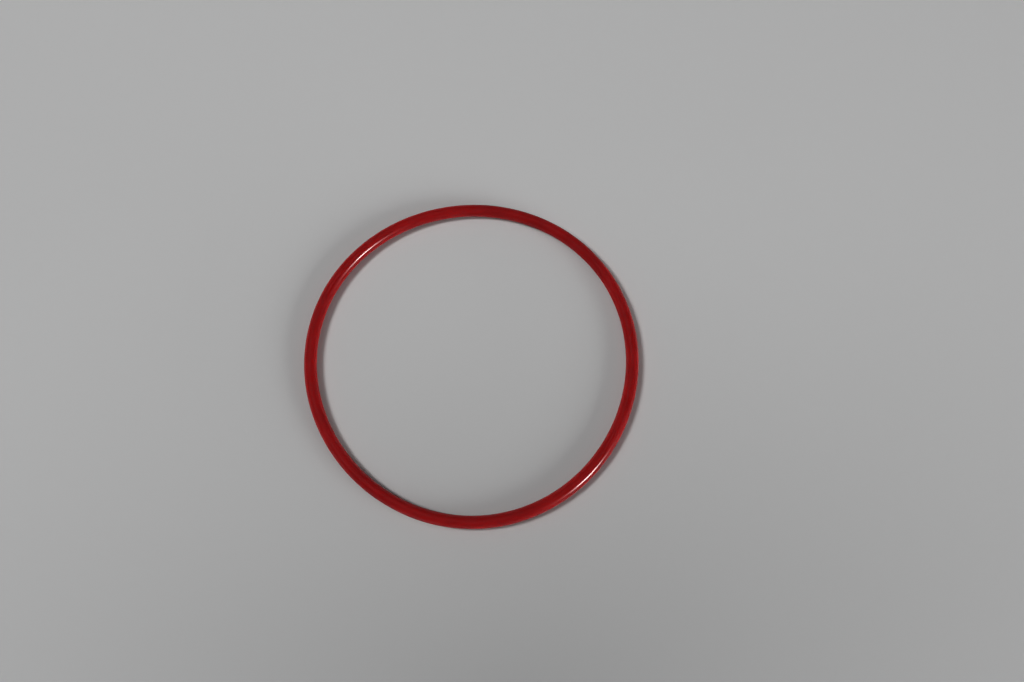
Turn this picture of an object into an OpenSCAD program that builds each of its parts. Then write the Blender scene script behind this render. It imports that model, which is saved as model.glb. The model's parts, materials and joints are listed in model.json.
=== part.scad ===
// Silicone o-ring: one moulded ring of round section, lying flat.
// The origin is the ring's centre on its mid-plane, and +Z is its axis.

/* [Ring] */
// Inside diameter of the relaxed ring, across the round section
inside_d = 88.49; // [20:0.01:240]
// Diameter of the round section
section_d = 3.53; // [1.6:0.01:9]

/* [Mould parting line] */
// Height that the trimmed parting line stands above the round section
line_height = 0.05; // [0.02:0.01:0.12]
// Width of the flat land along the top of the parting line
line_land = 0.14; // [0.06:0.01:0.2]
// Spread of the parting line's flank on each side of the land
line_flank = 0.06; // [0.02:0.01:0.12]

/* [Hidden] */
$fn = 180;
section_r = section_d / 2;
// Radius of the circle that the section's centre follows
centre_r = (inside_d + section_d) / 2;
land_half = line_land / 2;
foot_half = land_half + line_flank;
land_r = section_r + line_height;
// The foot's corners lie as deep below the round surface as the land stands above it
foot_r = sqrt(section_r ^ 2 - foot_half ^ 2) - line_height;

// Outline of the line that the two mould halves leave, outside and inside the ring
module parting_line() {
    polygon([
        [land_r, -land_half],
        [land_r, land_half],
        [foot_r, foot_half],
        [-foot_r, foot_half],
        [-land_r, land_half],
        [-land_r, -land_half],
        [-foot_r, -foot_half],
        [foot_r, -foot_half]
    ]);
}

module o_ring() {
    color([0.62, 0.09, 0.09])
        rotate_extrude()
            translate([centre_r, 0])
                union() {
                    circle(d = section_d);
                    parting_line();
                }
}

o_ring();
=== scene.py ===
import json
import math

import bpy
from mathutils import Matrix, Vector


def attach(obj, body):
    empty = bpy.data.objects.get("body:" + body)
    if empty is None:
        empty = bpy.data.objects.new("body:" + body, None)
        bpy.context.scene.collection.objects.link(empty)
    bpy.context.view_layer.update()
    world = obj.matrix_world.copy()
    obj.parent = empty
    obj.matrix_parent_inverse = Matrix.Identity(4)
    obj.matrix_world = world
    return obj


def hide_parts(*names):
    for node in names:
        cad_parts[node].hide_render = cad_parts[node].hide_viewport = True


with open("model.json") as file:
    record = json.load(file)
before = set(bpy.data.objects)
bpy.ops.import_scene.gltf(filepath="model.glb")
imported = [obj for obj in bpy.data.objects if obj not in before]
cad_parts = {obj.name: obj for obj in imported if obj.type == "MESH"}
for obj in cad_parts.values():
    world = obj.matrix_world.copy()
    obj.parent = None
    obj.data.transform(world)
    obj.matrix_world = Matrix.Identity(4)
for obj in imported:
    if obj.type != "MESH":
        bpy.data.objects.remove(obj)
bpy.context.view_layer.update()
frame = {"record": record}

mm = 0.001

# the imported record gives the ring's own sizes
mounts = {mount["name"]: mount for mount in frame["record"]["mounts"]}
innerLand = mounts["inner_seat"]["dims"]["r_mm"] * mm
outerLand = mounts["outer_seat"]["dims"]["r_mm"] * mm
landWidth = mounts["outer_seat"]["dims"]["length_mm"] * mm
floorHeight = mounts["face_seal_line"]["pos_m"][2]
centreRadius = (innerLand + outerLand) / 2
sectionRadius = -floorHeight
lineHeight = (outerLand - innerLand) / 2 - sectionRadius


def clearSelection():
    if bpy.context.object and bpy.context.object.mode != "OBJECT":
        bpy.ops.object.mode_set(mode="OBJECT")
    bpy.ops.object.select_all(action="DESELECT")


def makeActive(piece):
    clearSelection()
    piece.select_set(True)
    bpy.context.view_layer.objects.active = piece


def selectFaces(piece, wanted):
    # wanted gets each face's centre and normal
    bpy.ops.mesh.select_mode(type="FACE")
    bpy.ops.mesh.select_all(action="DESELECT")
    bpy.ops.object.mode_set(mode="OBJECT")
    for face in piece.data.polygons:
        face.select = wanted(face.center, face.normal)
    bpy.ops.object.mode_set(mode="EDIT")


def selectVerts(piece, wanted):
    # wanted gets each point's place
    bpy.ops.mesh.select_mode(type="VERT")
    bpy.ops.mesh.select_all(action="DESELECT")
    bpy.ops.object.mode_set(mode="OBJECT")
    for vert in piece.data.vertices:
        vert.select = wanted(vert.co)
    bpy.ops.object.mode_set(mode="EDIT")


def applyAll(piece):
    makeActive(piece)
    for modifier in list(piece.modifiers):
        bpy.ops.object.modifier_apply(modifier=modifier.name)


ringShape = {
    # a point lies at the top and an edge across the equator, as wide as the line's foot
    "sectionPoints": 42,
    "stations": 120,          # steps round the ring
    "lineFlank": 0.06 * mm,   # slope on each side of the parting line's land
    "lineCrease": 0.75,
    "equator": 0.01 * mm,     # faces centred this near mid-height carry the line
    "weld": 0.001 * mm,
    "smoothLevels": 2,
    "trimRise": 0.02 * mm,    # how far the hand-trimmed line varies in height
    "trimLength": 2.2 * mm,
    "waveRise": 0.025 * mm,   # faint waviness of the moulded surface
    "waveLength": 9.0 * mm,
    "waveDetail": 2,
    "lobes": 3,               # a soft ring lies a little out of round
    "lobeRise": 0.295 * mm,
    "lobeTurn": math.radians(32.3),
}


def landZone(point):
    return abs(point.z) < landWidth / 2 + ringShape["lineFlank"] / 2


def addNoiseWave(ring, name, rise, length, group=""):
    clouds = bpy.data.textures.new(name, "CLOUDS")
    clouds.noise_scale = length
    clouds.noise_depth = ringShape["waveDetail"]
    wave = ring.modifiers.new(name, "DISPLACE")
    wave.texture = clouds
    wave.texture_coords = "LOCAL"
    wave.strength = rise
    wave.vertex_group = group


def lieRelaxed(ring):
    # the ring's centre line moves in and out by the same small amount at each lobe
    for vert in ring.data.vertices:
        turn = math.atan2(vert.co.y, vert.co.x)
        shift = ringShape["lobeRise"] * math.cos(ringShape["lobes"] * (turn - ringShape["lobeTurn"]))
        vert.co.x += shift * math.cos(turn)
        vert.co.y += shift * math.sin(turn)


def buildRing():
    shape = ringShape
    clearSelection()
    bpy.ops.mesh.primitive_circle_add(
        vertices=shape["sectionPoints"], radius=sectionRadius,
        location=(centreRadius, 0, 0), rotation=(math.radians(90), 0, 0))
    ring = bpy.context.object
    ring.name = ring.data.name = "moulded_ring"
    bpy.ops.object.transform_apply(location=True, rotation=True, scale=True)

    # sweep the section round the axis and close the seam
    bpy.ops.object.mode_set(mode="EDIT")
    bpy.ops.mesh.select_all(action="SELECT")
    bpy.ops.mesh.spin(steps=shape["stations"], angle=math.radians(360), center=(0, 0, 0),
                      axis=(0, 0, 1), use_auto_merge=False)
    bpy.ops.mesh.select_all(action="SELECT")
    bpy.ops.mesh.remove_doubles(threshold=shape["weld"])
    bpy.ops.mesh.normals_make_consistent(inside=False)

    # raise the parting line from the two bands of faces on the equator
    selectFaces(ring, lambda centre, normal: abs(centre.z) < shape["equator"])
    bpy.ops.mesh.inset(thickness=shape["lineFlank"], depth=lineHeight,
                       use_boundary=True, use_even_offset=True)
    selectVerts(ring, landZone)
    bpy.ops.transform.edge_crease(value=shape["lineCrease"])
    bpy.ops.object.vertex_group_add()
    bpy.ops.object.vertex_group_assign()
    ring.vertex_groups.active.name = "trimmedLine"
    bpy.ops.object.mode_set(mode="OBJECT")

    smooth = ring.modifiers.new("smooth", "SUBSURF")
    smooth.levels = smooth.render_levels = shape["smoothLevels"]
    addNoiseWave(ring, "trim", shape["trimRise"], shape["trimLength"], "trimmedLine")
    addNoiseWave(ring, "wave", shape["waveRise"], shape["waveLength"])
    applyAll(ring)
    lieRelaxed(ring)
    bpy.ops.object.shade_smooth()
    return ring


siliconeFinish = {
    "red": (0.345, 0.024, 0.026, 1),
    "deepRed": (0.295, 0.021, 0.023, 1),
    "mottleScale": 140.0,     # patches of about 7 mm
    "mottleDetail": 4,
    "mottleSpan": (0.35, 0.65),
    "roughLow": 0.21,
    "roughHigh": 0.26,
    "grainScale": 6500.0,     # satin grain of about 0.15 mm
    "grainDetail": 3,
    "grainBump": 0.06,
    "grainHeight": 0.01 * mm,
    "softLight": 1.0,         # light goes into the rubber and comes out again nearby
    "softReach": 3.2 * mm,
    "softTint": (1.0, 0.12, 0.10),  # red light travels furthest in it
    "ior": 1.41,
    "gloss": 0.4,
    "trimmed": (0.46, 0.060, 0.062, 1),  # the parting line is paler and duller where it was trimmed
    "trimRough": 0.52,
}


def siliconeMaterial():
    look = siliconeFinish
    material = bpy.data.materials.new("redSilicone")
    material.use_nodes = True
    nodes, links = material.node_tree.nodes, material.node_tree.links
    shader = nodes["Principled BSDF"]
    shader.inputs["IOR"].default_value = look["ior"]
    shader.inputs["Specular IOR Level"].default_value = look["gloss"]
    shader.inputs["Subsurface Weight"].default_value = look["softLight"]
    shader.inputs["Subsurface Radius"].default_value = look["softTint"]
    shader.inputs["Subsurface Scale"].default_value = look["softReach"]

    place = nodes.new("ShaderNodeTexCoord")

    mottle = nodes.new("ShaderNodeTexNoise")
    mottle.inputs["Scale"].default_value = look["mottleScale"]
    mottle.inputs["Detail"].default_value = look["mottleDetail"]
    links.new(place.outputs["Object"], mottle.inputs["Vector"])
    reds = nodes.new("ShaderNodeValToRGB")
    reds.color_ramp.elements[0].position = look["mottleSpan"][0]
    reds.color_ramp.elements[0].color = look["deepRed"]
    reds.color_ramp.elements[1].position = look["mottleSpan"][1]
    reds.color_ramp.elements[1].color = look["red"]
    links.new(mottle.outputs["Fac"], reds.inputs["Fac"])

    # 1 on the parting line's land, 0 past its flanks
    axes = nodes.new("ShaderNodeSeparateXYZ")
    links.new(place.outputs["Object"], axes.inputs["Vector"])
    height = nodes.new("ShaderNodeMath")
    height.operation = "ABSOLUTE"
    links.new(axes.outputs["Z"], height.inputs[0])
    onLine = nodes.new("ShaderNodeMapRange")
    onLine.inputs["From Min"].default_value = landWidth / 2
    onLine.inputs["From Max"].default_value = landWidth / 2 + ringShape["lineFlank"]
    onLine.inputs["To Min"].default_value = 1
    onLine.inputs["To Max"].default_value = 0
    links.new(height.outputs["Value"], onLine.inputs["Value"])

    # a mix node's sockets go by number: 0 is the share, then the two values of its kind
    tint = nodes.new("ShaderNodeMix")
    tint.data_type = "RGBA"
    links.new(onLine.outputs["Result"], tint.inputs[0])
    links.new(reds.outputs["Color"], tint.inputs[6])
    tint.inputs[7].default_value = look["trimmed"]
    links.new(tint.outputs[2], shader.inputs["Base Color"])

    rough = nodes.new("ShaderNodeMapRange")
    rough.inputs["To Min"].default_value = look["roughLow"]
    rough.inputs["To Max"].default_value = look["roughHigh"]
    links.new(mottle.outputs["Fac"], rough.inputs["Value"])
    dull = nodes.new("ShaderNodeMix")
    links.new(onLine.outputs["Result"], dull.inputs[0])
    links.new(rough.outputs["Result"], dull.inputs[2])
    dull.inputs[3].default_value = look["trimRough"]
    links.new(dull.outputs[0], shader.inputs["Roughness"])

    grain = nodes.new("ShaderNodeTexNoise")
    grain.inputs["Scale"].default_value = look["grainScale"]
    grain.inputs["Detail"].default_value = look["grainDetail"]
    links.new(place.outputs["Object"], grain.inputs["Vector"])
    bump = nodes.new("ShaderNodeBump")
    bump.inputs["Strength"].default_value = look["grainBump"]
    bump.inputs["Distance"].default_value = look["grainHeight"]
    links.new(grain.outputs["Fac"], bump.inputs["Height"])
    links.new(bump.outputs["Normal"], shader.inputs["Normal"])
    return material


floorLook = {
    "pale": (0.61, 0.61, 0.61, 1),
    # the darker floor colour below is painted shade, darkening a soft patch on one side of the ring
    "paintedShade": (0.45, 0.45, 0.45, 1),
    "paintedShadeCentre": (0.0, -95 * mm, 0.0),    # painted shade: the floor's colour is darker around here, standing in for the shadow of someone leaning over the bench
    "paintedShadeReach": (320 * mm, 160 * mm, 1.0),
    "hazeScale": 6.0,
    "hazeDepth": 0.10,
    "roughness": 1.0,
    "gloss": 0.15,
    "radius": 1.6,            # metres, well inside the lamps
    "sides": 128,
}


def floorMaterial():
    material = bpy.data.materials.new("paleFloor")
    material.use_nodes = True
    nodes, links = material.node_tree.nodes, material.node_tree.links
    shader = nodes["Principled BSDF"]
    shader.inputs["Roughness"].default_value = floorLook["roughness"]
    shader.inputs["Specular IOR Level"].default_value = floorLook["gloss"]
    place = nodes.new("ShaderNodeTexCoord")

    centred = nodes.new("ShaderNodeVectorMath")
    centred.operation = "SUBTRACT"
    centred.inputs[1].default_value = floorLook["paintedShadeCentre"]
    spread = nodes.new("ShaderNodeVectorMath")
    spread.operation = "DIVIDE"
    spread.inputs[1].default_value = floorLook["paintedShadeReach"]
    # painted shade: a soft patch, darkest at its centre, where the floor's colour is made darker
    shade = nodes.new("ShaderNodeTexGradient")
    shade.gradient_type = "QUADRATIC_SPHERE"
    links.new(place.outputs["Object"], centred.inputs[0])
    links.new(centred.outputs["Vector"], spread.inputs[0])
    links.new(spread.outputs["Vector"], shade.inputs["Vector"])

    haze = nodes.new("ShaderNodeTexNoise")
    haze.inputs["Scale"].default_value = floorLook["hazeScale"]
    links.new(place.outputs["Object"], haze.inputs["Vector"])
    blend = nodes.new("ShaderNodeMath")
    blend.operation = "MULTIPLY_ADD"
    blend.inputs[1].default_value = floorLook["hazeDepth"]
    links.new(haze.outputs["Fac"], blend.inputs[0])
    links.new(shade.outputs["Fac"], blend.inputs[2])

    # the floor's own pale tone, blended towards painted shade inside the patch and varied a little by the
    # haze
    tones = nodes.new("ShaderNodeValToRGB")
    tones.color_ramp.elements[0].color = floorLook["pale"]
    tones.color_ramp.elements[1].color = floorLook["paintedShade"]
    links.new(blend.outputs["Value"], tones.inputs["Fac"])
    links.new(tones.outputs["Color"], shader.inputs["Base Color"])
    return material


def buildFloor():
    clearSelection()
    bpy.ops.mesh.primitive_circle_add(
        vertices=floorLook["sides"], radius=floorLook["radius"],
        fill_type="NGON", location=(0, 0, floorHeight))
    floor = bpy.context.object
    floor.name = "floor"
    bpy.ops.object.transform_apply(location=True, rotation=True, scale=True)
    floor.data.materials.append(floorMaterial())


lightPlan = {
    # azimuth from +X and elevation in degrees, distance, width and height in metres,
    # power in watts, and which kind of shading the lamp reaches
    "window": (167, 52, 6.0, 1.5, 1.5, 144.0, "diffuse"),
    "ceiling": (160, 68, 6.0, 5.0, 5.0, 20.0, "both"),
    "lowGlow": (-38, 17, 6.0, 4.3, 1.9, 140.0, "diffuse"),
    "nearSide": (-25, 3, 6.0, 4.3, 0.48, 80.0, "diffuse"),
    "farSide": (145, 3, 6.0, 4.3, 0.48, 30.0, "diffuse"),
    "glint": (-42, 24, 3.6, 0.5, 0.5, 115.0, "gloss"),
}
airLight = {
    "color": (0.98, 0.99, 1.0, 1),
    "horizon": 0.30,       # pale behind the floor's far edge
    "overhead": 0.08,
    "fadeHeight": 0.40,    # sine of the elevation where the horizon's glow has gone
}


def addLight(name, azimuth, elevation, distance, width, height, power, reach):
    turn, rise = math.radians(azimuth), math.radians(elevation)
    towards = Vector((math.cos(rise) * math.cos(turn), math.cos(rise) * math.sin(turn), math.sin(rise)))
    data = bpy.data.lights.new(name, "AREA")
    data.shape = "RECTANGLE"
    data.size = width
    data.size_y = height
    data.energy = power
    lamp = bpy.data.objects.new(name, data)
    lamp.location = towards * distance
    lamp.rotation_euler = towards.to_track_quat("Z", "Y").to_euler()
    lamp.visible_camera = False
    lamp.visible_glossy = reach != "diffuse"
    lamp.visible_diffuse = reach != "gloss"
    bpy.context.collection.objects.link(lamp)


def roomAir():
    world = bpy.data.worlds.new("softRoom")
    world.use_nodes = True
    nodes, links = world.node_tree.nodes, world.node_tree.links
    air = nodes["Background"]
    air.inputs["Color"].default_value = airLight["color"]
    sky = nodes.new("ShaderNodeTexCoord")
    parts = nodes.new("ShaderNodeSeparateXYZ")
    fade = nodes.new("ShaderNodeMapRange")
    fade.interpolation_type = "SMOOTHSTEP"
    fade.inputs["From Max"].default_value = airLight["fadeHeight"]
    fade.inputs["To Min"].default_value = airLight["horizon"]
    fade.inputs["To Max"].default_value = airLight["overhead"]
    links.new(sky.outputs["Generated"], parts.inputs["Vector"])
    links.new(parts.outputs["Z"], fade.inputs["Value"])
    links.new(fade.outputs["Result"], air.inputs["Strength"])
    bpy.context.scene.world = world


def buildLights():
    for name, plan in lightPlan.items():
        addLight(name, *plan)
    roomAir()
    bpy.context.scene.view_settings.view_transform = "Standard"
    bpy.context.scene.view_settings.look = "High Contrast"


cameraPlan = {
    "lens": 35.0,
    "sensor": 36.0,
    "aim": (11.94 * mm, 3.96 * mm, 0),  # point on the ring's mid-plane at the middle of the view
    "distance": 286.4 * mm,
    "heading": 8.88,                   # degrees from +Y towards +X
    "elevation": 74.11,
    "roll": 2.35,
    "near": 10 * mm,
    "far": 50.0,
}


def buildCamera():
    plan = cameraPlan
    heading, rise = math.radians(plan["heading"]), math.radians(plan["elevation"])
    back = Vector((-math.sin(heading) * math.cos(rise), -math.cos(heading) * math.cos(rise), math.sin(rise)))
    data = bpy.data.cameras.new("camera")
    data.lens = plan["lens"]
    data.sensor_width = plan["sensor"]
    data.clip_start = plan["near"]
    data.clip_end = plan["far"]
    camera = bpy.data.objects.new("camera", data)
    place = Matrix.Translation(Vector(plan["aim"]) + back * plan["distance"])
    facing = back.to_track_quat("Z", "Y").to_matrix().to_4x4()
    camera.matrix_world = place @ facing @ Matrix.Rotation(math.radians(plan["roll"]), 4, "Z")
    bpy.context.collection.objects.link(camera)
    bpy.context.scene.camera = camera


buildCamera()
buildLights()
print("camera and lights are set")
buildFloor()
ring = buildRing()
ring.data.materials.append(siliconeMaterial())
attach(ring, "root")
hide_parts("o_ring")
print("ring has", len(ring.data.polygons), "faces")
